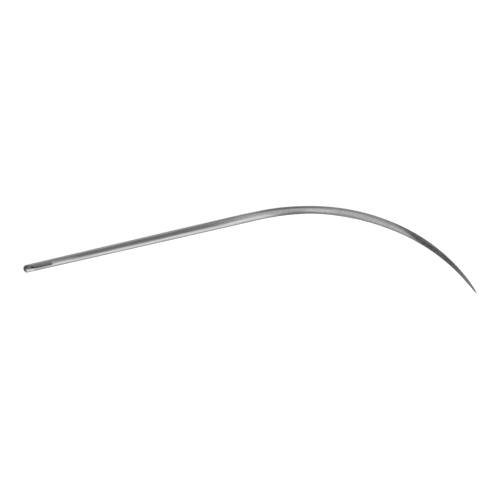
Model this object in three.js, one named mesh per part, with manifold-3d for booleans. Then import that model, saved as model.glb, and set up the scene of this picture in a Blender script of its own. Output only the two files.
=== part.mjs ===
// Pelt needle: a half-curved cutting needle made from one length of steel wire.
// The round shank tapers back to a rounded head with a punched eye. Past the shoulder the wire is
// ground three-square, bent in one plane and ground down to a point.
// Millimetres, +Z up. The needle lies flat: its bend is in the XY plane, the shank runs along +X
// from the head, the hollow side of the bend faces -Y, and one face of the blade lies upwards.

import * as THREE from 'three';
import { mergeVertices } from 'three/addons/utils/BufferGeometryUtils.js';
import Module from 'manifold-3d';

// Centre line: a straight shank, then two arcs that run on from it (angles in degrees)
const SHANK_LENGTH = 62.7;
const BLADE_BEND_RADIUS = 57.3;
const BLADE_BEND_ANGLE = 39.3;
const POINT_BEND_RADIUS = 48.9;
const POINT_BEND_ANGLE = 29.3;

// Round shank: thin at the head, thickest at the shoulder just before the bend
const HEAD_DIAMETER = 2.02;
const SHOULDER_DIAMETER = 2.44;
const SHOULDER_TO_BEND = 6.9;

// Three-square blade: widths over two edges of its section, which has three equal faces
const BEND_TO_NECK = 12.9;
const NECK_WIDTH = 2.03;
const BEND_TO_BELLY = 23.5;
const BELLY_WIDTH = 2.16;
const EDGE_RADIUS = 0.22;
const FACE_CROWN = 0.03;

// Point: a long even taper, then a short nib at the end
const POINT_WIDTH = 1.93;
const NIB_LENGTH = 4;
const NIB_WIDTH = 0.62;
const TIP_WIDTH = 0.06;

// Eye: a slot with round ends, through a shallow gutter on both faces of the head
const EYE_TO_HEAD_END = 2.3;
const EYE_LENGTH = 5.5;
const EYE_WIDTH = 0.61;
const GUTTER_LENGTH = 8.4;
const GUTTER_WIDTH = 1.1;
const GUTTER_DEPTH = 0.2;

// Facets: steps round one arc of a section, and the spacing of the sections along the wire
const ARC_STEPS = 6;
const HEAD_RINGS = 6;
const BLADE_RING_SPACING = 3.4;
const NIB_RING_SPACING = 0.7;

const { degToRad, lerp, smoothstep } = THREE.MathUtils;

// Stations along the wire, measured from the end of the head
const bladeStart = SHANK_LENGTH;
const pointStart = bladeStart + BLADE_BEND_RADIUS * degToRad(BLADE_BEND_ANGLE);
const tip = pointStart + POINT_BEND_RADIUS * degToRad(POINT_BEND_ANGLE);
const headRadius = HEAD_DIAMETER / 2;
const shoulder = bladeStart - SHOULDER_TO_BEND;
const neck = bladeStart + BEND_TO_NECK;
const belly = bladeStart + BEND_TO_BELLY;
const nibStart = tip - NIB_LENGTH;

// The centre line of the wire: the second arc starts in the direction in which the first one ends
function makeCentreLine() {
  const quarter = Math.PI / 2;
  const bladeEnd = quarter - degToRad(BLADE_BEND_ANGLE);
  const pointEnd = bladeEnd - degToRad(POINT_BEND_ANGLE);
  const bladeCentre = new THREE.Vector2(SHANK_LENGTH, -BLADE_BEND_RADIUS);
  const towardsArcJoint = new THREE.Vector2(Math.cos(bladeEnd), Math.sin(bladeEnd));
  const centreShift = BLADE_BEND_RADIUS - POINT_BEND_RADIUS;
  const pointCentre = bladeCentre.clone().addScaledVector(towardsArcJoint, centreShift);

  const line = new THREE.CurvePath();
  line.add(new THREE.LineCurve(new THREE.Vector2(0, 0), new THREE.Vector2(SHANK_LENGTH, 0)));
  line.add(new THREE.ArcCurve(bladeCentre.x, bladeCentre.y, BLADE_BEND_RADIUS, quarter, bladeEnd, true));
  line.add(new THREE.ArcCurve(pointCentre.x, pointCentre.y, POINT_BEND_RADIUS, bladeEnd, pointEnd, true));
  return line;
}

// The belly's section as a ring of points. Three round edges are joined by three faces with a slight
// crown, and every arc runs smoothly into the next. x points to the outside of the bend, y along +Z,
// and the section is centred in height on the wire.
function makeThreeSquareRing() {
  const third = degToRad(120);
  const halfSide = BELLY_WIDTH / 2 - EDGE_RADIUS;
  const inset = halfSide / Math.sqrt(3);
  const edgeReach = 2 * inset;
  const centreDistance = (halfSide ** 2 + FACE_CROWN ** 2) / (2 * FACE_CROWN);
  const faceRadius = centreDistance + EDGE_RADIUS;
  const faceReach = inset + FACE_CROWN - centreDistance;
  const lean = Math.asin(halfSide / centreDistance);
  const lift = (inset - FACE_CROWN) / 2;

  const arcPoints = (reach, direction, radius, halfSpread) => {
    const x = reach * Math.cos(direction);
    const y = lift + reach * Math.sin(direction);
    const arc = new THREE.ArcCurve(x, y, radius, direction - halfSpread, direction + halfSpread);
    return arc.getPoints(ARC_STEPS).slice(0, -1);
  };

  const ring = [];
  for (let corner = 0; corner < 3; corner++) {
    const edge = third * corner - Math.PI / 2;
    const face = edge + third / 2;
    ring.push(...arcPoints(edgeReach, edge, EDGE_RADIUS, third / 2 - lean));
    ring.push(...arcPoints(faceReach, face, faceRadius, lean));
  }
  return ring;
}

// A circle of radius 1 with as many points as the three-square ring, lined up with its edges
function makeRoundRing(count) {
  const ring = [];
  for (let i = 0; i < count; i++) {
    const angle = 2 * Math.PI * (i / count - 1 / 3);
    ring.push(new THREE.Vector2(Math.cos(angle), Math.sin(angle)));
  }
  return ring;
}

// Radius of the round wire: the rounded head, then the long taper up to the shoulder
function wireRadius(station) {
  if (station < headRadius) {
    return Math.sqrt(headRadius ** 2 - (headRadius - station) ** 2);
  }
  const along = Math.min((station - headRadius) / (shoulder - headRadius), 1);
  return lerp(headRadius, SHOULDER_DIAMETER / 2, along);
}

// Width of the three-square section: waisted at the neck, full at the belly, then down to the tip
function bladeWidth(station) {
  if (station < belly) {
    return lerp(NECK_WIDTH, BELLY_WIDTH, smoothstep(station, neck, belly));
  }
  if (station < pointStart) {
    const along = (station - belly) / (pointStart - belly);
    return lerp(BELLY_WIDTH, POINT_WIDTH, along ** 2);
  }
  if (station < nibStart) {
    return lerp(POINT_WIDTH, NIB_WIDTH, (station - pointStart) / (nibStart - pointStart));
  }
  return lerp(NIB_WIDTH, TIP_WIDTH, (station - nibStart) / (tip - TIP_WIDTH - nibStart));
}

// Stations that need a section: the rounded head, the two ends of the straight taper, then at even
// spaces where the wire bends and changes shape
function sectionStations() {
  const stations = [];
  for (let i = 1; i < HEAD_RINGS; i++) {
    stations.push(headRadius * (1 - Math.cos((Math.PI / 2) * (i / HEAD_RINGS))));
  }
  const addStretch = (from, to, spacing) => {
    const count = Math.ceil((to - from) / spacing);
    for (let i = 0; i < count; i++) {
      stations.push(lerp(from, to, i / count));
    }
  };
  stations.push(headRadius);
  addStretch(shoulder, neck, BLADE_RING_SPACING);
  addStretch(neck, belly, BLADE_RING_SPACING);
  addStretch(belly, pointStart, BLADE_RING_SPACING);
  addStretch(pointStart, nibStart, BLADE_RING_SPACING);
  addStretch(nibStart, tip - TIP_WIDTH, NIB_RING_SPACING);
  stations.push(tip - TIP_WIDTH);
  return stations;
}

// The whole wire as one loft, from the end of the head to the tip
function makeWire() {
  const centreLine = makeCentreLine();
  const threeSquareRing = makeThreeSquareRing();
  const sides = threeSquareRing.length;
  const roundRing = makeRoundRing(sides);
  const stations = sectionStations();
  const positions = [];
  const triangles = [];

  const addPoint = (station, across, up) => {
    const centre = centreLine.getPoint(station / tip);
    const heading = centreLine.getTangent(station / tip);
    positions.push(centre.x - heading.y * across, centre.y + heading.x * across, up);
  };

  addPoint(0, 0, 0);
  for (const station of stations) {
    const ground = smoothstep(station, shoulder, neck);
    const radius = wireRadius(station);
    const scale = bladeWidth(station) / BELLY_WIDTH;
    for (let i = 0; i < sides; i++) {
      const across = lerp(roundRing[i].x * radius, threeSquareRing[i].x * scale, ground);
      const up = lerp(roundRing[i].y * radius, threeSquareRing[i].y * scale, ground);
      addPoint(station, across, up);
    }
  }
  addPoint(tip, 0, 0);

  const lastPoint = positions.length / 3 - 1;
  const lastRing = lastPoint - sides;
  for (let i = 0; i < sides; i++) {
    const next = (i + 1) % sides;
    triangles.push(0, 1 + next, 1 + i);
    for (let ring = 1; ring < lastRing; ring += sides) {
      const ahead = ring + sides;
      triangles.push(ring + i, ring + next, ahead + i);
      triangles.push(ring + next, ahead + next, ahead + i);
    }
    triangles.push(lastPoint, lastRing + i, lastRing + next);
  }

  const geometry = new THREE.BufferGeometry();
  geometry.setAttribute('position', new THREE.Float32BufferAttribute(positions, 3));
  geometry.setIndex(triangles);
  return geometry;
}

const eyeCentre = EYE_TO_HEAD_END + EYE_LENGTH / 2;

// The punch that opens the eye: a bar with round ends, longer than the wire is thick
function makeEyePunch() {
  const end = EYE_WIDTH / 2;
  const reach = EYE_LENGTH / 2 - end;
  const outline = new THREE.Shape();
  outline.absarc(reach, 0, end, -Math.PI / 2, Math.PI / 2, false);
  outline.absarc(-reach, 0, end, Math.PI / 2, (3 * Math.PI) / 2, false);
  const depth = 2 * SHOULDER_DIAMETER;
  const punch = new THREE.ExtrudeGeometry(outline, { depth, bevelEnabled: false, curveSegments: ARC_STEPS });
  return punch.translate(eyeCentre, 0, -depth / 2);
}

// The stamp that presses the gutter: a slim egg, half sunk into the face of the head on this side
function makeGutterStamp(side) {
  const stamp = new THREE.SphereGeometry(1, 4 * ARC_STEPS, 2 * ARC_STEPS);
  stamp.scale(GUTTER_LENGTH / 2, GUTTER_WIDTH / 2, GUTTER_DEPTH);
  return stamp.translate(eyeCentre, 0, side * wireRadius(eyeCentre));
}

const wasm = await Module();
wasm.setup();

function toSolid(geometry) {
  geometry.deleteAttribute('normal');
  geometry.deleteAttribute('uv');
  const merged = mergeVertices(geometry);
  const vertProperties = new Float32Array(merged.attributes.position.array);
  const triVerts = new Uint32Array(merged.index.array);
  return new wasm.Manifold(new wasm.Mesh({ numProp: 3, vertProperties, triVerts }));
}

function toGeometry(solid) {
  const mesh = solid.getMesh();
  const geometry = new THREE.BufferGeometry();
  geometry.setAttribute('position', new THREE.BufferAttribute(mesh.vertProperties, 3));
  geometry.setIndex(new THREE.BufferAttribute(mesh.triVerts, 1));
  geometry.computeVertexNormals();
  return geometry;
}

const steel = new THREE.MeshStandardMaterial({ color: 0xa3a5a8, roughness: 0.22, metalness: 1 });

// One piece: the eye is cut through the wire after its gutters
function makeNeedle() {
  const cuts = [makeGutterStamp(1), makeGutterStamp(-1), makeEyePunch()];
  const solid = cuts.reduce((rest, cut) => rest.subtract(toSolid(cut)), toSolid(makeWire()));
  const needle = new THREE.Mesh(toGeometry(solid), steel);
  needle.name = 'needle';
  return needle;
}

// The needle stands on z = 0, centred over the middle of its outline
const needle = makeNeedle();
const outline = new THREE.Box3().setFromObject(needle);
const middle = outline.getCenter(new THREE.Vector3());
needle.position.set(-middle.x, -middle.y, -outline.min.z);

const peltNeedle = new THREE.Group();
peltNeedle.add(needle);

export default peltNeedle;
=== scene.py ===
# %% [markdown]
# A pelt needle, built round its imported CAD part.
#
# The real needle is one length of steel wire: a round shank with a slotted eye, then a bent
# three-square blade that runs out to a point. It lies flat, as in the photograph, and is seen
# almost square to its bend. This lesson models the wire straight, as its maker has it before the
# bending, then cuts the eye, bends the wire and gives it its steel finish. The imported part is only
# the frame: it gives the place and the size that the finished piece has to keep.

# %% Load the frame
import math

import bmesh
import bpy
from mathutils import Matrix, Vector


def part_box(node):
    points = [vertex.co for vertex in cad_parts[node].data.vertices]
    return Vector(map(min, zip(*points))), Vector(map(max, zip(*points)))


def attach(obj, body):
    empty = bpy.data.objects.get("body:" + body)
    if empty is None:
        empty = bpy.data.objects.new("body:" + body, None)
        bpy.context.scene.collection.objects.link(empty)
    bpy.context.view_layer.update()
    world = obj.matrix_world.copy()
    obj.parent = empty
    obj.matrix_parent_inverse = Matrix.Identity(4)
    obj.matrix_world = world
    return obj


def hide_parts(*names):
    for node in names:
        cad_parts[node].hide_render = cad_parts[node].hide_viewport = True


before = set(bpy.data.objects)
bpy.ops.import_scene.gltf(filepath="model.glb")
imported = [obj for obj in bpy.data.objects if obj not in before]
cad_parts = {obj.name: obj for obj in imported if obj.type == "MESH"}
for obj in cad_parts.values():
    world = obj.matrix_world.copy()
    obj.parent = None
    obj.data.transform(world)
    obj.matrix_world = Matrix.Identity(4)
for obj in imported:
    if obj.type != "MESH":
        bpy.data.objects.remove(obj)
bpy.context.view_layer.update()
cad_low, cad_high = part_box("needle")
print("CAD box, mm:", [round(1000 * (b - a), 2) for a, b in zip(cad_low, cad_high)])

# %% [markdown]
# Some of Blender's tools can't work finer than about a micrometre in a scene in metres, and the
# smallest steps here are only a few micrometres. So the needle is modelled with one unit as one
# millimetre, straight along X from the end of its head, and is scaled down to metres when it is put
# in its place. A station is a place along the straight wire. Three helpers do what the mouse and the
# eye would do: start a clean edit of one piece, pick the vertices at a place, and measure what is
# picked.

# %% Helpers for selecting


def start_edit(piece):
    """Deselects everything and opens one piece in edit mode with nothing picked."""
    if bpy.context.mode != "OBJECT":
        bpy.ops.object.mode_set(mode="OBJECT")
    bpy.ops.object.select_all(action="DESELECT")
    bpy.context.view_layer.objects.active = piece
    piece.select_set(True)
    bpy.ops.object.mode_set(mode="EDIT")
    bpy.ops.mesh.select_mode(type="VERT")
    bpy.ops.mesh.select_all(action="DESELECT")


def pick(piece, wanted):
    """Selects the vertices for whose place wanted(place) is true, and returns how many they are."""
    mesh = bmesh.from_edit_mesh(piece.data)
    for vertex in mesh.verts:
        vertex.select_set(wanted(vertex.co))
    mesh.select_flush_mode()
    bmesh.update_edit_mesh(piece.data)
    return sum(vertex.select for vertex in mesh.verts)


def span(piece, axis):
    """Least and greatest place, along one axis, of the vertices that are picked."""
    picked = [vertex.co[axis] for vertex in bmesh.from_edit_mesh(piece.data).verts if vertex.select]
    return min(picked), max(picked)


CLOSE = 0.001  # mm, for telling one ring of vertices from the next
print("Modelling in millimetres, rings told apart at", CLOSE, "mm")

# %% [markdown]
# The shank is drawn wire, a little thicker towards the bend. Where the pressing of the blade starts
# it has its shoulder, and from there it narrows again to the neck, where the blade begins. These are
# its sizes, and a helper that gives the radius at any station, softly where the wire narrows.

# %% Sizes of the wire
HEAD_RADIUS = 2.02 / 2
SHOULDER_RADIUS = 2.438 / 2
SHANK_LENGTH = 62.7
PRESS_START = SHANK_LENGTH - 6.9
SHOULDER = PRESS_START + 1.7
NECK = SHANK_LENGTH + 12.9
NECK_WIDTH = 2.03


def between(start, end, share):
    """The value that lies a share of the way from start to end."""
    return start + (end - start) * share


def ease(share):
    """A share that starts and ends softly."""
    return share * share * (3 - 2 * share)


def shank_radius(station):
    """Radius of the wire from the end of the head to the neck, where the blade begins."""
    if station < SHOULDER:
        return between(HEAD_RADIUS, SHOULDER_RADIUS, station / SHOULDER)
    return between(SHOULDER_RADIUS, NECK_WIDTH / 2, ease((station - SHOULDER) / (NECK - SHOULDER)))


print("Wire, mm thick:", [round(2 * shank_radius(station), 2) for station in (0, SHOULDER, NECK)])

# %% [markdown]
# One circle is extruded along X and resized ring by ring, as a lathe hand would set the steps of a
# taper. The rings stand close together round the eye, so that the cuts later on find small even
# faces there.

# %% Extrude the shank
SIDES = 96
HEAD_ROUNDING = 0.75


def extrude_ring(from_station, to_station, resize):
    """Extrudes the picked ring along the wire and resizes it about the wire's axis."""
    step = (to_station - from_station, 0, 0)
    bpy.ops.mesh.extrude_region_move(TRANSFORM_OT_translate={"value": step})
    bpy.ops.transform.resize(value=(1, resize, resize), center_override=(to_station, 0, 0))


bpy.ops.object.select_all(action="DESELECT")
SQUARE_TO_WIRE = (math.radians(-90), 0, math.radians(-90))
bpy.ops.mesh.primitive_circle_add(
    vertices=SIDES,
    radius=shank_radius(HEAD_ROUNDING),
    location=(HEAD_ROUNDING, 0, 0),
    rotation=SQUARE_TO_WIRE,
)
needle = bpy.context.object
needle.name = needle.data.name = "pelt_needle"
bpy.ops.object.transform_apply(location=True, rotation=True, scale=True)

EYE_REGION_END = 11.0
EYE_RING_SPACING = 0.4
SHANK_RING_SPACING = 1.6
start_edit(needle)
bpy.ops.mesh.select_all(action="SELECT")
station = HEAD_ROUNDING
while station < PRESS_START - CLOSE:
    spacing = EYE_RING_SPACING if station < EYE_REGION_END else SHANK_RING_SPACING
    ahead = min(station + spacing, PRESS_START)
    extrude_ring(station, ahead, shank_radius(ahead) / shank_radius(station))
    station = ahead
print("Shank vertices:", len(bmesh.from_edit_mesh(needle.data).verts))

# %% [markdown]
# The head is blunt, with its corner rounded over. The first ring is extruded backwards along a
# quarter of an ellipse, and its last ring is merged to one point. A sphere could be joined on
# instead, but then its vertices wouldn't line up with the shank's.

# %% Round the head over
HEAD_STEPS = 12
LAST_RING = 0.002  # of the head's radius, before the ring is merged
pick(needle, lambda place: abs(place.x - HEAD_ROUNDING) < CLOSE)
for step in range(1, HEAD_STEPS + 1):
    before = math.radians(90 * (step - 1) / HEAD_STEPS)
    after = math.radians(90 * step / HEAD_STEPS)
    start, end = (HEAD_ROUNDING * (1 - math.sin(angle)) for angle in (before, after))
    extrude_ring(start, end, max(math.cos(after), LAST_RING) / math.cos(before))
bpy.ops.mesh.merge(type="CENTER")
print("Head ends at", round(min(v.co.x for v in bmesh.from_edit_mesh(needle.data).verts), 3), "mm")

# %% [markdown]
# The blade is three-square: three equal faces with rounded edges and a slight crown. Its section
# starts as a triangle. Bevelling the corners rounds the edges, subdividing the sides gives it as
# many vertices as the shank's ring, and a touch of To Sphere swells the faces.

# %% Draw the three-square section
BELLY_WIDTH = 2.16
EDGE_RADIUS = 0.22
FACE_SWELL = 0.09
half_side = BELLY_WIDTH / 2 - EDGE_RADIUS
corner_reach = 2 * (half_side / math.sqrt(3) + EDGE_RADIUS)

bpy.ops.object.mode_set(mode="OBJECT")
bpy.ops.object.select_all(action="DESELECT")
bpy.ops.mesh.primitive_circle_add(
    vertices=3, radius=corner_reach, location=(NECK, 0, 0), rotation=SQUARE_TO_WIRE
)
section = bpy.context.object
bpy.ops.object.transform_apply(location=True, rotation=True, scale=True)

PER_ARC = SIDES // 6
start_edit(section)
bpy.ops.mesh.select_all(action="SELECT")
bpy.ops.mesh.bevel(offset=EDGE_RADIUS * math.sqrt(3), segments=PER_ARC, profile=0.5, affect="VERTICES")
mesh = bmesh.from_edit_mesh(section.data)
for edge in mesh.edges:
    edge.select_set(edge.calc_length() > half_side)
bmesh.update_edit_mesh(section.data)
bpy.ops.mesh.select_mode(type="EDGE")
bpy.ops.mesh.subdivide(number_cuts=PER_ARC - 1)
bpy.ops.mesh.select_all(action="SELECT")
bpy.ops.transform.tosphere(value=FACE_SWELL)

(left, right), (bottom, top) = span(section, 1), span(section, 2)
to_neck = NECK_WIDTH / (right - left)
bpy.ops.transform.resize(value=(1, to_neck, to_neck), center_override=(NECK, 0, 0))
bpy.ops.transform.translate(value=(0, 0, -(bottom + top) / 2 * to_neck))
NECK_HEIGHT = (top - bottom) * to_neck
print("Section at the neck:", NECK_WIDTH, "mm wide,", round(NECK_HEIGHT, 3), "mm high")

# %% [markdown]
# Between the shank and the neck the wire is pressed and ground from round to three-square. Joining
# the section to the shank and bridging the two rings gives rings in even steps of shape. Each ring
# then slides along the wire to the place where that much of the shape is reached, softly at both
# ends, and is resized to the wire's width and height there. The pressing bites on the outer side of
# the bend first, so each ring is also slanted, with its outer side nearer to the head. Turning a
# ring this narrow hardly moves it along the wire: it is spread across, turned, and resized back.
# Its outer side then has the wire's radius at the place that it has come to, and its inner side
# keeps the fuller one of the place that it came from.

# %% Bridge from round to three-square
SHAPE_RINGS = 48


def place_of_ease(share):
    """The share that ease() turns into this one."""
    return 0.5 - math.sin(math.asin(1 - 2 * share) / 3)


bpy.ops.object.mode_set(mode="OBJECT")
bpy.ops.object.select_all(action="DESELECT")
section.select_set(True)
needle.select_set(True)
bpy.context.view_layer.objects.active = needle
bpy.ops.object.join()

start_edit(needle)
pick(needle, lambda place: min(abs(place.x - PRESS_START), abs(place.x - NECK)) < CLOSE)
bpy.ops.mesh.select_mode(type="EDGE")
bpy.ops.mesh.bridge_edge_loops(number_cuts=SHAPE_RINGS - 1, interpolation="LINEAR")
bpy.ops.mesh.select_mode(type="VERT")

RUN = NECK - PRESS_START
PRESS_LEAD, SPREAD = 6.0, 8
shares = [ring / SHAPE_RINGS for ring in range(1, SHAPE_RINGS)]
mesh = bmesh.from_edit_mesh(needle.data)
rings = [
    {vertex.index for vertex in mesh.verts if abs(vertex.co.x - PRESS_START - RUN * share) < CLOSE}
    for share in shares
]
for share, ring in zip(shares, rings):
    along = place_of_ease(share)
    station = PRESS_START + RUN * along
    lead = PRESS_LEAD * math.sin(math.pi * along)
    outer, inner = shank_radius(station - lead), shank_radius(station)
    height = 2 * shank_radius(station) * between(1, NECK_HEIGHT / NECK_WIDTH, share)
    for vertex in bmesh.from_edit_mesh(needle.data).verts:
        vertex.select_set(vertex.index in ring)
    bpy.ops.transform.translate(value=(station - PRESS_START - RUN * share, 0, 0))
    bpy.ops.transform.resize(value=(1, SPREAD, 1), center_override=(station, 0, 0))
    slant = math.asin(lead / span(needle, 1)[1])
    bpy.ops.transform.rotate(value=-slant, orient_axis="Z", center_override=(station, 0, 0))
    (left, right), (bottom, top) = span(needle, 1), span(needle, 2)
    fit = (1, (outer + inner) / (right - left), height / (top - bottom))
    bpy.ops.transform.resize(value=fit, center_override=(station, 0, 0))
    bpy.ops.transform.translate(value=(0, (outer - inner) / 2, 0))
print("Bridged with", SHAPE_RINGS - 1, "rings over", round(RUN, 1), "mm")

# %% [markdown]
# The blade swells a little from its neck to its belly, thins again, and then runs out in a long
# point with a nib that was honed once more at its very end. It is the same section all the way, so
# the neck's ring is extruded along the wire and resized at each step, and the last ring is merged
# to the tip.

# %% Extrude the blade and the point
BELLY = SHANK_LENGTH + 23.5
BLADE_BEND_RADIUS, BLADE_BEND_ANGLE = 57.3, math.radians(39.3)
POINT_BEND_RADIUS, POINT_BEND_ANGLE = 48.9, math.radians(29.3)
POINT = SHANK_LENGTH + BLADE_BEND_RADIUS * BLADE_BEND_ANGLE
TIP_SPARE = 0.02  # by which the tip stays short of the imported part's
TIP = POINT + POINT_BEND_RADIUS * POINT_BEND_ANGLE - TIP_SPARE
POINT_WIDTH = 1.88
NIB, NIB_WIDTH = TIP - 4, 0.83
HONE, HONE_WIDTH = TIP - 1.2, 0.5
TIP_WIDTH = 0.1
POINT_FULLNESS = 1.15


def blade_width(station):
    """Width over two edges of the blade at a station along the wire."""
    if station < BELLY:
        return between(NECK_WIDTH, BELLY_WIDTH, ease((station - NECK) / (BELLY - NECK)))
    if station < POINT:
        return between(BELLY_WIDTH, POINT_WIDTH, ((station - BELLY) / (POINT - BELLY)) ** 2)
    if station < NIB:
        return between(POINT_WIDTH, NIB_WIDTH, ((station - POINT) / (NIB - POINT)) ** POINT_FULLNESS)
    if station < HONE:
        return between(NIB_WIDTH, HONE_WIDTH, (station - NIB) / (HONE - NIB))
    return between(HONE_WIDTH, TIP_WIDTH, (station - HONE) / (TIP - TIP_WIDTH - HONE))


BLADE_RING_SPACING = 0.6
STRETCHES = (NECK, BELLY, POINT, NIB, HONE, TIP - TIP_WIDTH)
pick(needle, lambda place: abs(place.x - NECK) < CLOSE)
for start, end in zip(STRETCHES, STRETCHES[1:]):
    count = math.ceil((end - start) / BLADE_RING_SPACING)
    for ring in range(count):
        before, after = (between(start, end, (ring + step) / count) for step in (0, 1))
        extrude_ring(before, after, blade_width(after) / blade_width(before))
bpy.ops.mesh.extrude_region_move(TRANSFORM_OT_translate={"value": (TIP_WIDTH, 0, 0)})
bpy.ops.mesh.merge(type="CENTER")
bpy.ops.mesh.select_all(action="SELECT")
bpy.ops.mesh.normals_make_consistent(inside=False)
bpy.ops.object.mode_set(mode="OBJECT")
print("Straight needle:", len(needle.data.polygons), "faces,", round(needle.dimensions.x, 2), "mm long")

# %% [markdown]
# The eye lies in a shallow gutter that is stamped into both faces of the head. A Boolean modifier
# takes one shape out of another, so the steps can follow the tools of the maker: first a slim egg
# presses the gutter into each face. It lies a little to the outer side of the wire's axis, because
# this eye was made slightly askew.

# %% Press the gutters
EYE_START, EYE_LENGTH, EYE_WIDTH = 2.3, 5.5, 0.61
EYE_CENTRE = EYE_START + EYE_LENGTH / 2
EYE_SIDESTEP = 0.12
GUTTER_LENGTH, GUTTER_WIDTH, GUTTER_DEPTH = 7.4, 1.1, 0.12


def cut(tool):
    """Cuts a tool's shape out of the needle, then puts the tool away."""
    boolean = needle.modifiers.new("cut", "BOOLEAN")
    boolean.operation = "DIFFERENCE"
    boolean.solver = "EXACT"
    boolean.object = tool
    bpy.context.view_layer.objects.active = needle
    bpy.ops.object.modifier_apply(modifier=boolean.name)
    bpy.data.objects.remove(tool)


for side in (1, -1):
    bpy.ops.object.select_all(action="DESELECT")
    bpy.ops.mesh.primitive_uv_sphere_add(
        segments=64,
        ring_count=48,
        radius=1,
        location=(EYE_CENTRE, EYE_SIDESTEP, side * shank_radius(EYE_CENTRE)),
        rotation=(0, math.radians(90), 0),
        scale=(GUTTER_DEPTH, GUTTER_WIDTH / 2, GUTTER_LENGTH / 2),
    )
    cut(bpy.context.object)
print("Two gutters,", GUTTER_LENGTH, "mm long and", GUTTER_DEPTH, "mm deep")

# %% [markdown]
# The punch is a bar with round ends that goes right through: a cylinder with one half of it pulled
# along the wire. It is turned a little too. Both its ends flare, which breaks the rims of the eye,
# so that they don't cut the thread. Bevelling the rims afterwards would do that too, but a Boolean
# leaves many short edges there, and they limit a bevel.

# %% Punch the eye
EYE_SKEW = math.radians(2.5)
PUNCH_START = EYE_CENTRE - EYE_LENGTH / 2 + EYE_WIDTH / 2
PUNCH_BODY, FLARE_HEIGHT, FLARE = 0.82, 0.08, 0.05
bpy.ops.object.select_all(action="DESELECT")
bpy.ops.mesh.primitive_cylinder_add(
    vertices=48, radius=EYE_WIDTH / 2, depth=2 * PUNCH_BODY, location=(PUNCH_START, EYE_SIDESTEP, 0)
)
punch = bpy.context.object
bpy.ops.object.transform_apply(location=True, rotation=True, scale=True)
start_edit(punch)
pick(punch, lambda place: place.x > PUNCH_START - CLOSE)
bpy.ops.transform.translate(value=(EYE_LENGTH - EYE_WIDTH, 0, 0))
for side in (1, -1):
    pick(punch, lambda place: side * place.z > PUNCH_BODY - CLOSE)
    bpy.ops.mesh.extrude_region_move(TRANSFORM_OT_translate={"value": (0, 0, side * FLARE_HEIGHT)})
    flared = (1 + 2 * FLARE / EYE_LENGTH, 1 + 2 * FLARE / EYE_WIDTH, 1)
    bpy.ops.transform.resize(value=flared, center_override=(EYE_CENTRE, EYE_SIDESTEP, 0))
    bpy.ops.mesh.extrude_region_move(TRANSFORM_OT_translate={"value": (0, 0, side * SHOULDER_RADIUS)})
bpy.ops.mesh.select_all(action="SELECT")
bpy.ops.transform.rotate(value=EYE_SKEW, orient_axis="Z", center_override=(EYE_CENTRE, 0, 0))
print("Punch from and to along the wire, mm:", [round(edge, 2) for edge in span(punch, 0)])
bpy.ops.object.mode_set(mode="OBJECT")
cut(punch)

# %% [markdown]
# The Booleans leave a few vertices almost on top of each other, and those are merged. How they merge
# depends on their numbers, which don't come in the same order in each run, so the vertices are
# first sorted by their distance from the 3D cursor. The cursor stands to one side for that, where no
# two distances are alike, and then goes back, because new objects are added at its place.

# %% Merge what the cuts left
MERGE = 0.003
TO_ONE_SIDE = (-3.1, 1.7, 2.3)
bpy.context.scene.cursor.location = TO_ONE_SIDE
start_edit(needle)
bpy.ops.mesh.select_all(action="SELECT")
bpy.ops.mesh.sort_elements(type="CURSOR_DISTANCE", elements={"VERT", "EDGE", "FACE"})
bpy.context.scene.cursor.location = (0, 0, 0)
pick(needle, lambda place: place.x < EYE_REGION_END)
bpy.ops.mesh.remove_doubles(threshold=MERGE)
bpy.ops.mesh.dissolve_degenerate(threshold=MERGE)
bpy.ops.object.mode_set(mode="OBJECT")
print("With its eye:", len(needle.data.polygons), "faces")

# %% [markdown]
# The finish follows the wire: drawn lines run along the shank, and the wheel's marks cross the
# blade. So before the wire is bent, each vertex keeps its straight place as an attribute, and the
# material reads that attribute wherever the bend takes it.

# %% Keep the straight places
straight = needle.data.attributes.new("wire", "FLOAT_VECTOR", "POINT")
straight.data.foreach_set("vector", [number for vertex in needle.data.vertices for number in vertex.co])
print("Kept", len(straight.data), "straight places")

# %% [markdown]
# The blade is painted darker along its rounded edges, which makes the dark borders of the blade.
# On the outer side this darkening begins far back on the shank, lower down, and comes up to the
# edge where the wire is pressed. A second attribute keeps how dark each vertex is painted, from
# how near the vertex is to an edge. It is worked out here, while the wire is straight and each edge
# runs along X.

# %% Paint the edges darker


def clamp(value):
    """The value, or 0 or 1 where it lies outside them."""
    return min(max(value, 0.0), 1.0)


# Across and up from the wire's axis to the middle of each edge's rounding, at the belly's size,
# then the stations where its darkening begins to show and where it shows in full.
half_height = NECK_HEIGHT / 2 * BELLY_WIDTH / NECK_WIDTH
OUTER_SHIFT = 0.1  # the outer edge's darkening lies this far in
EDGES = {
    "outer": (half_side - OUTER_SHIFT, half_height - EDGE_RADIUS, 36, 64),
    "inner": (-half_side, half_height - EDGE_RADIUS, 63, 67),
    "under": (0, EDGE_RADIUS - half_height, 60, 66),
}
DARK_INSIDE, DARK_OUTSIDE = 0.24, 0.4  # fully dark inside, not at all outside
# Where an edge is darkened more broadly: the station, how far it reaches to both sides, how much broader.
BROAD_DARK = {"outer": [(97.0, 7.0, 0.65)], "inner": [(71.5, 8.0, 0.45), (84.5, 6.5, 0.42)], "under": []}
LESS_DARK_FROM, LESS_DARK_RUN, LESS_DARK_SHARE = 73, 9, 0.4  # the two upper edges are painted less dark along the blade
EARLY_END, EARLY_RUN, EARLY_OUT, EARLY_DOWN = 63, 5, 0.15, 0.19  # the outer darkening on the shank


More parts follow.
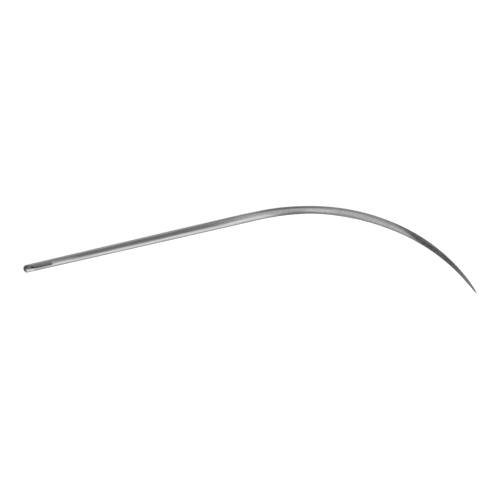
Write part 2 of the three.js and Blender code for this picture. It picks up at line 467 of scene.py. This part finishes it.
def dark_edge_share(place):
    """How dark a place is painted: fully on an edge, not at all on a face."""
    size = blade_width(max(place.x, NECK)) / BELLY_WIDTH
    most = 0.0
    for name, (across, up, start, end) in EDGES.items():
        if name == "outer":
            early = clamp((EARLY_END - place.x) / EARLY_RUN)
            across += EARLY_OUT * early
            up -= EARLY_DOWN * early
        apart = math.hypot(place.y / size - across, place.z / size - up)
        outside = DARK_OUTSIDE
        for middle, reach, breadth in BROAD_DARK[name]:
            outside += breadth * clamp(1 - abs(place.x - middle) / reach)
        left = clamp((outside - apart) / (outside - DARK_INSIDE))
        if name != "under":
            left *= 1 - LESS_DARK_SHARE * clamp((place.x - LESS_DARK_FROM) / LESS_DARK_RUN)
        most = max(most, left * clamp((place.x - start) / (end - start)))
    return most


dark_edge_paint = needle.data.attributes.new("dark_edge", "FLOAT", "POINT")
dark_edge_paint.data.foreach_set("value", [dark_edge_share(vertex.co) for vertex in needle.data.vertices])
print("Vertices painted dark:", sum(point.value > 0.5 for point in dark_edge_paint.data))

# %% [markdown]
# The needle is half-curved: the shank stays straight, the blade has one radius and the point a
# slightly tighter one. The bend tool needs a window, so the wire is bent along a drawn curve with
# the Curve modifier. Two Bezier points make a straight line or an arc, and an arc's handles are as
# long as four thirds of the tangent of a quarter of its angle, times its radius.

# %% Bend the wire
bpy.ops.object.select_all(action="DESELECT")
bpy.ops.curve.primitive_bezier_curve_add()
former = bpy.context.object
former.data.dimensions = "2D"
FORMER_STEPS = 256
former.data.resolution_u = FORMER_STEPS
spline = former.data.splines[0]
spline.bezier_points.add(2)

place, heading = Vector((0, 0, 0)), 0.0
runs = ((None, SHANK_LENGTH), (BLADE_BEND_RADIUS, BLADE_BEND_ANGLE), (POINT_BEND_RADIUS, POINT_BEND_ANGLE))
spline.bezier_points[0].handle_left_type = spline.bezier_points[0].handle_right_type = "FREE"
spline.bezier_points[0].co = spline.bezier_points[0].handle_left = place
for start, end, (radius, amount) in zip(spline.bezier_points[:3], spline.bezier_points[1:], runs):
    end.handle_left_type = end.handle_right_type = "FREE"
    ahead = Vector((math.cos(heading), math.sin(heading), 0))
    if radius is None:
        handle = amount / 3
        place = place + ahead * amount
    else:
        inward = Vector((ahead.y, -ahead.x, 0))
        handle = radius * math.tan(amount / 4) * 4 / 3
        place = place + radius * (ahead * math.sin(amount) + inward * (1 - math.cos(amount)))
        heading -= amount
    start.handle_right = start.co + ahead * handle
    end.co = end.handle_right = place
    end.handle_left = place - Vector((math.cos(heading), math.sin(heading), 0)) * handle

bend = needle.modifiers.new("bend", "CURVE")
bend.object = former
bend.deform_axis = "POS_X"
bpy.context.view_layer.objects.active = needle
bpy.ops.object.modifier_apply(modifier=bend.name)
bpy.data.objects.remove(former)

corners = [Vector(corner) for corner in needle.bound_box]
low = Vector(min(corner[axis] for corner in corners) for axis in range(3))
high = Vector(max(corner[axis] for corner in corners) for axis in range(3))
print("Bent needle, mm:", [round(side, 3) for side in high - low])

# %% [markdown]
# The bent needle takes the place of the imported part. It is scaled to metres, moved so that the end
# of its head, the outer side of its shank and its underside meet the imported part's, and then the
# object itself is set back to the origin.

# %% Put it in its place
MM = 0.001
SMOOTH_ANGLE = math.radians(40)
bpy.ops.object.select_all(action="DESELECT")
needle.select_set(True)
bpy.context.view_layer.objects.active = needle
needle.scale = (MM, MM, MM)
needle.location = (cad_low[0] - low.x * MM, cad_high[1] - high.y * MM, cad_low[2] - low.z * MM)
bpy.ops.object.transform_apply(location=True, rotation=True, scale=True)
bpy.ops.object.shade_smooth_by_angle(angle=SMOOTH_ANGLE)
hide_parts("needle")
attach(needle, "root")
print("Placed, mm:", [round(1000 * side, 3) for side in needle.dimensions])

# %% [markdown]
# A material in Blender is a graph of nodes. Clicking it together by hand and wiring it in code come
# to the same thing, so these helpers each add one node and plug it in, and the finish below then
# reads as a list of steps. A ramp is a soft step, maths is one sum, blend mixes two values, and tint
# mixes two colours.

# %% Helpers for nodes


def plug(socket, value):
    """Links a socket to another node's output, or sets it to a plain value."""
    if isinstance(value, bpy.types.NodeSocket):
        links.new(value, socket)
    else:
        socket.default_value = value


def node(kind, label, inputs=None, **settings):
    """Adds a node to the material being made, with its label, its settings and its inputs."""
    made = nodes.new(kind)
    made.label = made.name = label
    for name, value in settings.items():
        setattr(made, name, value)
    for name, value in (inputs or {}).items():
        plug(made.inputs[name], value)
    return made


def ramp(label, value, start, end, low=0.0, high=1.0):
    """A soft step from low to high as a value goes from start to end."""
    inputs = {"Value": value, "From Min": start, "From Max": end, "To Min": low, "To Max": high}
    return node("ShaderNodeMapRange", label, inputs, interpolation_type="SMOOTHSTEP").outputs["Result"]


def maths(label, operation, *values):
    """One sum, such as ADD or MAXIMUM, on one, two or three values."""
    return node("ShaderNodeMath", label, dict(enumerate(values)), operation=operation).outputs[0]


def blend(label, share, first, second):
    """Mixes two values by a share."""
    return node("ShaderNodeMix", label, {0: share, 2: first, 3: second}, data_type="FLOAT").outputs[0]


def tint(label, share, first, second):
    """Mixes two colours by a share."""
    return node("ShaderNodeMix", label, {0: share, 6: first, 7: second}, data_type="RGBA").outputs[2]


def grey(level):
    """A grey with the faint blue of steel."""
    return (level, level, level * STEEL_BLUE, 1)


STEEL_BLUE = 1.01
print("Colours of steel are greys with", STEEL_BLUE, "times as much blue")

# %% [markdown]
# The whole needle is bare steel, so metallic is 1 all over and goes straight on the shader's own
# socket, as does the tint of the rims, which real steel has a little darker than a mirror would.
# Everything else follows the wire. The attribute with the straight places gives three numbers to
# work with: how far along the wire a point is, how far over to the outer side, and how far up.

# %% Start the steel
RIM_TINT = 0.5
steel = bpy.data.materials.new("needle_steel")
steel.use_nodes = True
nodes, links = steel.node_tree.nodes, steel.node_tree.links
shader = nodes["Principled BSDF"]
shader.inputs["Metallic"].default_value = 1
shader.inputs["Specular Tint"].default_value = (RIM_TINT, RIM_TINT, RIM_TINT, 1)

wire = node("ShaderNodeAttribute", "straight place", attribute_name="wire").outputs["Vector"]
places = node("ShaderNodeSeparateXYZ", "along, over, up", {0: wire}).outputs
along, over, up = places["X"], places["Y"], places["Z"]
dark_edge = node("ShaderNodeAttribute", "dark edges", attribute_name="dark_edge").outputs["Fac"]
needle.data.materials.clear()
needle.data.materials.append(steel)
print("Steel on", needle.name, "reads", [made.attribute_name for made in nodes if made.type == "ATTRIBUTE"])

# %% [markdown]
# The needle was polished along its shank, and its blade was ground after that. The ground face
# starts as a tongue on the outer side of the shank, and the bright polished strip runs on beside it
# until the face has spread over the whole width. Painted highlights lie where the grinding starts
# and in a streak along the belly. The point is painted dark as painted shade, from a slanted
# border on, and less dark at its nib. Each mask goes from 0 to 1, made of soft steps whose places
# are in millimetres, along the wire from the end of its head or over from its axis. Painting the
# masks on an image would do as well, but then the finish would need a file.

# %% Mark out the ground faces, their painted highlights and the point's painted shade
START_SLANT, POINT_SLANT = 6, 4.4  # mm along the wire for each mm over
TONGUE_SOFTNESS = 0.08
HIGHLIGHT_STREAK_OVER = -0.1
tongue_edge = ramp("edge of the tongue", along, 63, 73, -0.1, -1.4)
past_edge = maths("past the edge", "SUBTRACT", over, tongue_edge)
on_tongue = ramp("on the tongue", past_edge, -TONGUE_SOFTNESS, TONGUE_SOFTNESS)
slanted_start = maths("slanted start", "MULTIPLY_ADD", over, START_SLANT, along)
ground = maths("ground", "MULTIPLY", on_tongue, ramp("grinding begins", slanted_start, 45, 61.5))
# Painted highlight where the grinding starts and in a streak along the belly.
start_highlight = maths("start_highlight", "MULTIPLY", ramp("highlight begins", slanted_start, 50, 61), ramp("highlight settles", along, 71, 62))
off_highlight_streak = maths("off the streak", "ABSOLUTE", maths("from the streak", "SUBTRACT", over, HIGHLIGHT_STREAK_OVER))
highlight_streak_run = maths("streak run", "MULTIPLY", ramp("streak from", along, 72, 77), ramp("to", along, 87, 79))
highlight_streak = maths("highlight_streak", "MULTIPLY", highlight_streak_run, ramp("on the streak", off_highlight_streak, 0.5, 0.1))
face_highlight = maths("painted highlight on the face", "MAXIMUM", start_highlight, highlight_streak)
# Painted shade on the point from a slanted border on, less dark at the nib.
slanted_border = maths("slanted border", "MULTIPLY_ADD", over, POINT_SLANT, along)
point_shade_and_marks = ramp("shaded point", slanted_border, 99, 105.2)
lighter_nib = ramp("lighter nib", along, 115, 124)
print("Soft steps:", [made.label for made in nodes if made.type == "MAP_RANGE"])

# %% [markdown]
# The end of the wire is painted dark as painted shade, more so on its outer side. The walls of the
# eye and the outer half of the short trough between the end and the eye are painted dark too, as
# painted shade in these hollows. Both ends of the eye, its outer lip and the polished strip beside
# the tongue carry painted highlights, and the steel there is a little hazy.

# %% Mark out the painted shade at the head and the painted highlights
END_SLANT = -1.1  # mm along the wire for each mm over
LIP_HIGHLIGHT = 0.7
slanted_end = maths("slanted end", "MULTIPLY_ADD", over, END_SLANT, along)
shaded_end = ramp("shaded end", slanted_end, 1.0, 0.4)


def patch(label, along_in, along_out, over_in, over_out):
    """A mask with soft borders: each border goes from a place where it is 0 to one where it is 1."""
    run = maths(label + " run", "MULTIPLY", ramp("in", along, *along_in), ramp("out", along, *along_out))
    breadth = maths(label + " breadth", "MULTIPLY", ramp("in", over, *over_in), ramp("out", over, *over_out))
    return maths(label, "MULTIPLY", run, breadth)


# The eye's walls, away from the gutters, are marked for painted shade.
in_eye = patch("in the eye", (1.9, 2.1), (8.3, 8.1), (0.6, 0.5), (-0.6, -0.5))
off_axis = maths("off the axis", "ABSOLUTE", up)
eye_wall_shade = maths("eye wall", "MULTIPLY", in_eye, ramp("under the gutter", off_axis, 0.8, 0.7))
# Painted highlights: at both ends of the eye, over its outer lip, and on the strip beside the tongue.
head_highlight = patch("head highlight", (0.8, 1.3), (3.4, 2.5), (0.0, -0.28), (-0.95, -0.6))
trough_shade = patch("trough_shade", (0.8, 1.2), (2.9, 2.3), (0.66, 0.42), (-0.06, 0.14))
eye_end_highlight = patch("eye end highlight", (7.4, 7.9), (16, 10.5), (0.8, 0.3), (-0.6, -0.22))
strip_highlight = patch("strip highlight", (52, 58), (70, 63), (0.1, -0.25), (-0.64, -0.3))
strip_haze = patch("strip haze", (52, 58), (70, 63), (0.1, -0.25), (-1.6, -1.4))
lip_highlight = patch("lip highlight", (1.6, 2.6), (9, 7.5), (0.25, 0.45), (0.75, 0.5))
lip_highlight_share = maths("lip highlight share", "MULTIPLY", lip_highlight, LIP_HIGHLIGHT)
eye_highlight = maths("highlights at the eye", "MAXIMUM", lip_highlight_share, maths("at its ends", "MAXIMUM", head_highlight, eye_end_highlight))
painted_highlight = maths("painted_highlight", "MAXIMUM", eye_highlight, strip_highlight)
hazy = maths("hazy", "MAXIMUM", eye_highlight, strip_haze)
print("Soft steps by now:", sum(made.type == "MAP_RANGE" for made in nodes))

# %% [markdown]
# Up close, steel is never one flat grey. Drawing and polishing leave fine lines along the shank,
# the wheel leaves marks that cross the blade at a slant, and the coarse stone leaves the point
# mottled. Each is a noise with long thin grains, sized in millimetres. The shank and the blade have
# a fine one for the relief and the gloss, and a broader one for the tone, because tone is what still
# shows from a step away. On the point one coarse noise gives both the tone and the relief.

# %% Draw the marks
WHEEL_TURN, STONE_TURN = math.radians(62), math.radians(35)


def grain(label, size, turn=0.0):
    """Noise on the wire with grains of a size in mm, whose run is turned from the wire's own."""
    inputs = {"Vector": wire, "Rotation": (0, 0, turn), "Scale": size}
    run = node("ShaderNodeMapping", label + " run", inputs, vector_type="TEXTURE").outputs[0]
    return node("ShaderNodeTexNoise", label, {"Vector": run, "Scale": 1, "Detail": 3}).outputs["Fac"]


drawn_lines = grain("drawn lines", (9.0, 0.09, 0.09))
polish_streaks = grain("polish streaks", (7.0, 0.4, 0.4))
wheel_marks = grain("wheel marks", (1.6, 0.08, 0.3), WHEEL_TURN)
wheel_passes = grain("wheel passes", (1.8, 0.45, 0.7), WHEEL_TURN)
stone_marks = grain("stone marks", (0.9, 0.3, 0.4), STONE_TURN)
print("Marks:", [made.label for made in nodes if made.type == "TEX_NOISE"])

# %% [markdown]
# Now the colours are laid over each other: polished steel first, painted highlights in places,
# then the ground faces with their painted highlights, the point's painted shade with its lighter
# nib, the painted shade at the end of the head, in the trough and on the walls of the eye, and last
# the edges painted darker. The broad ones have a darker and a lighter tone, mixed by their own marks.

# %% Colour the steel
TONE_RANGE = (0.32, 0.68)  # most of a noise lies in here
# Greys of the painted highlights, of the lighter nib within the point's painted shade, and of the darkened
# edges.
HIGHLIGHT_GREY, NIB_GREY, DARK_EDGE_GREY = 0.98, 0.34, 0.3
# Greys of the painted shade at the end of the head, in the trough and on the walls of the eye.
END_SHADE_GREY, TROUGH_SHADE_GREY, WALL_SHADE_GREY = 0.27, 0.42, 0.27


def mottled(label, marks, dark, light):
    """A finish that goes from a dark to a light grey with its marks."""
    return tint(label, ramp(label + " tone", marks, *TONE_RANGE), grey(dark), grey(light))


polished_grey = mottled("polished", polish_streaks, 0.55, 0.65)
# The ground faces' grey, mottled by their wheel passes, is set lighter than polished steel as painted light.
ground_and_lit_grey = mottled("ground and lit face", wheel_passes, 0.68, 0.78)
# Grey of the painted highlights on the ground face.
face_highlight_grey = mottled("face highlight", wheel_passes, 0.85, 0.97)
# The point's painted shade, mottled by its stone marks, and lighter at the nib.
point_shade_grey = mottled("point shade", stone_marks, 0.11, 0.23)
point_shade_grey = tint("lighter nib face", lighter_nib, point_shade_grey, grey(NIB_GREY))

# Painted highlights at the eye and on the strip.
colour = tint("painted highlight steel", painted_highlight, polished_grey, grey(HIGHLIGHT_GREY))
# The ground faces, with their painted highlights.
colour = tint("ground steel", ground, colour, tint("face highlight steel", face_highlight, ground_and_lit_grey, face_highlight_grey))
# Painted shade on the point.
colour = tint("point steel", point_shade_and_marks, colour, point_shade_grey)
# Painted shade at the end of the head, in the trough and on the walls of the eye.
colour = tint("head steel", shaded_end, colour, grey(END_SHADE_GREY))
colour = tint("trough steel", trough_shade, colour, grey(TROUGH_SHADE_GREY))
colour = tint("wall steel", eye_wall_shade, colour, grey(WALL_SHADE_GREY))
# The rounded edges painted darker.
colour = tint("edge steel", dark_edge, colour, grey(DARK_EDGE_GREY))
plug(shader.inputs["Base Color"], colour)
print("Colour nodes:", sum(made.type == "MIX" for made in nodes))

# %% [markdown]
# Gloss and relief follow the same masks. The shank is smooth enough to mirror the lamps as bands,
# the ground faces only glow. Relief is a Bump node, with the depth of the marks in micrometres,
# because lines as fine as these would take millions of faces.

# %% Gloss and relief
MICROMETRE = 1e-6
LINE_DEPTH, WHEEL_DEPTH, STONE_DEPTH = 0.4, 2.0, 5.0
GLOSS_RANGE = (0.3, 0.7)  # a little wider than for the tone, so that the gloss changes more softly
POLISHED_ROUGH, GROUND_ROUGH = (0.17, 0.23), (0.55, 0.65)
HAZY_ROUGH, EYE_ROUGH = 0.46, 0.36
polished_rough = ramp("polished gloss", drawn_lines, *GLOSS_RANGE, *POLISHED_ROUGH)
polished_rough = blend("hazy gloss", hazy, polished_rough, HAZY_ROUGH)
polished_rough = blend("eye gloss", eye_end_highlight, polished_rough, EYE_ROUGH)
ground_rough = ramp("ground gloss", wheel_marks, *GLOSS_RANGE, *GROUND_ROUGH)
plug(shader.inputs["Roughness"], blend("gloss", ground, polished_rough, ground_rough))

depth = blend(
    "ground depth",
    ground,
    maths("line depth", "MULTIPLY", drawn_lines, LINE_DEPTH),
    maths("wheel depth", "MULTIPLY", wheel_marks, WHEEL_DEPTH),
)
depth = blend("point depth", point_shade_and_marks, depth, maths("stone depth", "MULTIPLY", stone_marks, STONE_DEPTH))
relief = node("ShaderNodeBump", "relief", {"Strength": 1, "Distance": MICROMETRE, "Height": depth})
plug(shader.inputs["Normal"], relief.outputs["Normal"])
print("Relief of", LINE_DEPTH, "to", STONE_DEPTH, "micrometres")

# %% [markdown]
# The needle lies on a plain white floor. A floor bright enough to photograph white would need so
# much light that the steel would burn out, so the floor is a pale paint that glows a little, and
# only for rays that come from the camera, or from steel and glass. A glow can't take a shadow by
# itself: Ambient Occlusion tells where the needle stands close over the floor and dims it there,
# so the contact shadow stays, and the floor is dark where it shows through the eye.

# %% Floor
bpy.ops.object.select_all(action="DESELECT")
FLOOR_SIZE = 4
bpy.ops.mesh.primitive_plane_add(size=FLOOR_SIZE, location=(0, 0, 0))
floor = bpy.context.object
floor.name = "floor"
floor_paint = bpy.data.materials.new("white_floor")
floor_paint.use_nodes = True
nodes, links = floor_paint.node_tree.nodes, floor_paint.node_tree.links
nodes.clear()

FLOOR_GREY = 0.75
SEEN_FLOOR, MIRRORED_FLOOR, SHADED_SHARE = 0.85, 0.2, 0.04
SHADE_REACH = 0.01
SHADE_FULL, SHADE_ENDS = 0.36, 0.52  # Ambient Occlusion where the glow is dimmest, and where it is full
path = node("ShaderNodeLightPath", "who looks").outputs
paint = node("ShaderNodeBsdfDiffuse", "paint", {"Color": (FLOOR_GREY, FLOOR_GREY, FLOOR_GREY, 1)})
closeness = node("ShaderNodeAmbientOcclusion", "closeness", {"Distance": SHADE_REACH}, samples=48)
unshaded = ramp("unshaded", closeness.outputs["AO"], SHADE_FULL, SHADE_ENDS, SHADED_SHARE)
in_metal = maths("in metal or glass", "MAXIMUM", path["Is Glossy Ray"], path["Is Transmission Ray"])
straight_on = maths("straight on", "MULTIPLY", path["Is Camera Ray"], SEEN_FLOOR)
level = maths("level", "MAXIMUM", straight_on, maths("mirrored", "MULTIPLY", in_metal, MIRRORED_FLOOR))
glow = node("ShaderNodeEmission", "glow", {"Strength": maths("shaded level", "MULTIPLY", level, unshaded)})
both = node("ShaderNodeAddShader", "paint and glow", {0: paint.outputs[0], 1: glow.outputs[0]})
node("ShaderNodeOutputMaterial", "floor out", {"Surface": both.outputs[0]})
floor.data.materials.append(floor_paint)
print("Floor", FLOOR_SIZE, "m wide, glowing at", SEEN_FLOOR, "for the camera")

# %% [markdown]
# The camera looks almost straight down on the flat of the needle, a few degrees off square towards
# the top of the picture, and rolled so that the shank climbs to the right. A long lens keeps the two
# ends of the needle at the same scale. Its place is worked out from the point that it aims at, so
# that the roll and the tilt can be changed one at a time while the outline is compared with the
# photograph.

# %% Camera
AIM = Vector((0.00174, 0.00757, 0.00122))
DISTANCE = 0.3063
LENS, SENSOR = 85, 36
NEAREST = 0.01
ROLL, TILT = math.radians(13.05), math.radians(7)
upward = Vector((0, 0, 1))
right = Vector((math.cos(ROLL), -math.sin(ROLL), 0))
across = Vector((math.sin(ROLL), math.cos(ROLL), 0))
camera_up = across * math.cos(TILT) - upward * math.sin(TILT)
camera_back = upward * math.cos(TILT) + across * math.sin(TILT)

camera_data = bpy.data.cameras.new("camera")
camera_data.lens = LENS
camera_data.sensor_width = SENSOR
camera_data.clip_start = NEAREST
camera = bpy.data.objects.new("camera", camera_data)
bpy.context.scene.collection.objects.link(camera)
turn = Matrix((right, camera_up, camera_back)).transposed().to_4x4()
camera.matrix_world = Matrix.Translation(AIM + camera_back * DISTANCE) @ turn
bpy.context.scene.camera = camera
print("Camera", round(DISTANCE * 1000), "mm away, tilted", round(math.degrees(TILT), 1), "degrees")

# %% [markdown]
# Polished steel shows what is around it, so the lamps are placed for their reflections. A large
# softbox below the picture, with a smaller one in front of it, makes the bright strip along the
# lower side of the shank, and leaving the other side empty makes the dark band above it. A third one
# from the right lights the ground face of the blade. The dim world stands for the walls of the room.
# A lamp is set by the brightness of its face, and its power follows from that and its area.

# %% Light
ROOM_GREY = 0.25
LAMP_POWER = 4  # W for each square metre of a lamp with a brightness of 1
world = bpy.data.worlds.new("room")
bpy.context.scene.world = world
world.use_nodes = True
world.node_tree.nodes["Background"].inputs["Color"].default_value = (ROOM_GREY, ROOM_GREY, ROOM_GREY, 1)


def softbox(name, bearing, lean, distance, width, height, brightness):
    """A flat lamp facing the needle: bearing is its side in the picture, lean its angle from upright."""
    lamp_data = bpy.data.lights.new(name, "AREA")
    lamp_data.shape = "RECTANGLE"
    lamp_data.size, lamp_data.size_y = width, height
    lamp_data.energy = brightness * LAMP_POWER * width * height
    lamp = bpy.data.objects.new(name, lamp_data)
    bpy.context.scene.collection.objects.link(lamp)
    bearing, lean = math.radians(bearing), math.radians(lean)
    side = right * math.cos(bearing) + across * math.sin(bearing)
    away = side * math.sin(lean) + upward * math.cos(lean)
    facing = away.to_track_quat("Z", "Y").to_matrix().to_4x4()
    lamp.matrix_world = Matrix.Translation(AIM + away * distance) @ facing
    print("Lamp", name, round(lamp_data.energy, 2), "W")


softbox("wide", bearing=-70, lean=47, distance=0.62, width=0.62, height=1.07, brightness=0.33)
softbox("key", bearing=-70, lean=59, distance=0.55, width=0.5, height=0.61, brightness=0.37)
softbox("fill", bearing=13, lean=42, distance=0.6, width=0.5, height=0.5, brightness=0.7)
bpy.context.scene.view_settings.view_transform = "Standard"
